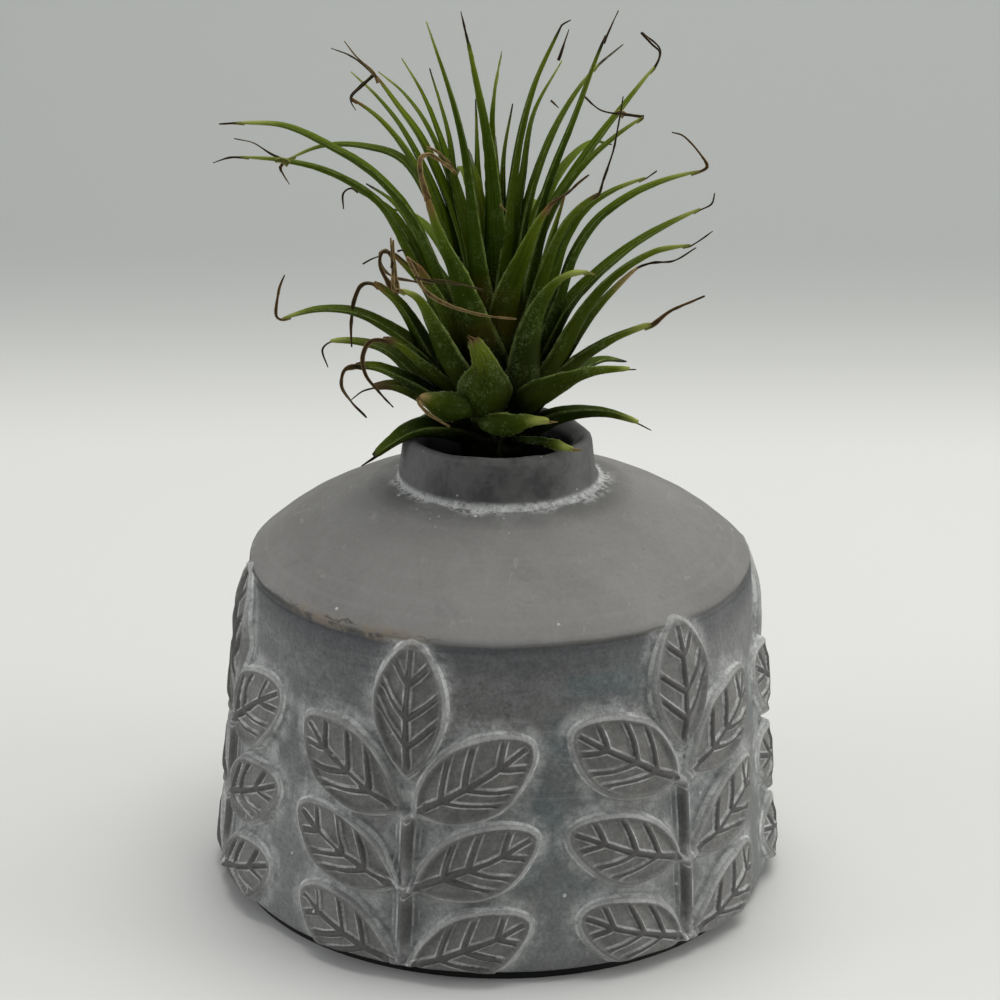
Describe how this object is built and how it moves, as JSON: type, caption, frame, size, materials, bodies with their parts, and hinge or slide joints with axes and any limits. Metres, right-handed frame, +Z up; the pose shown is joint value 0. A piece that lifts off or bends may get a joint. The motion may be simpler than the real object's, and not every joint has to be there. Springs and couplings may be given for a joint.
{
  "type": "potted air plant",
  "caption": "Air plant rosette of narrow arching leaves resting in the neck of a squat round cement vase with leafy sprigs in relief round its wall.",
  "frame": {"origin": "centre of the vase's flat base", "axes": "+Z up along the vase's axis, -Y towards the front of the picture"},
  "size_m": [0.1088, 0.1085, 0.1681],
  "materials": {
    "cement": "dry matte grey cement with a pale blue-grey wash in the relief",
    "leaf": "fleshy green leaf with a fine silvery down and dried brown tips"
  },
  "bodies": {
    "root": {"vase": "cement", "rosette": "leaf"}
  },
  "joints": []
}
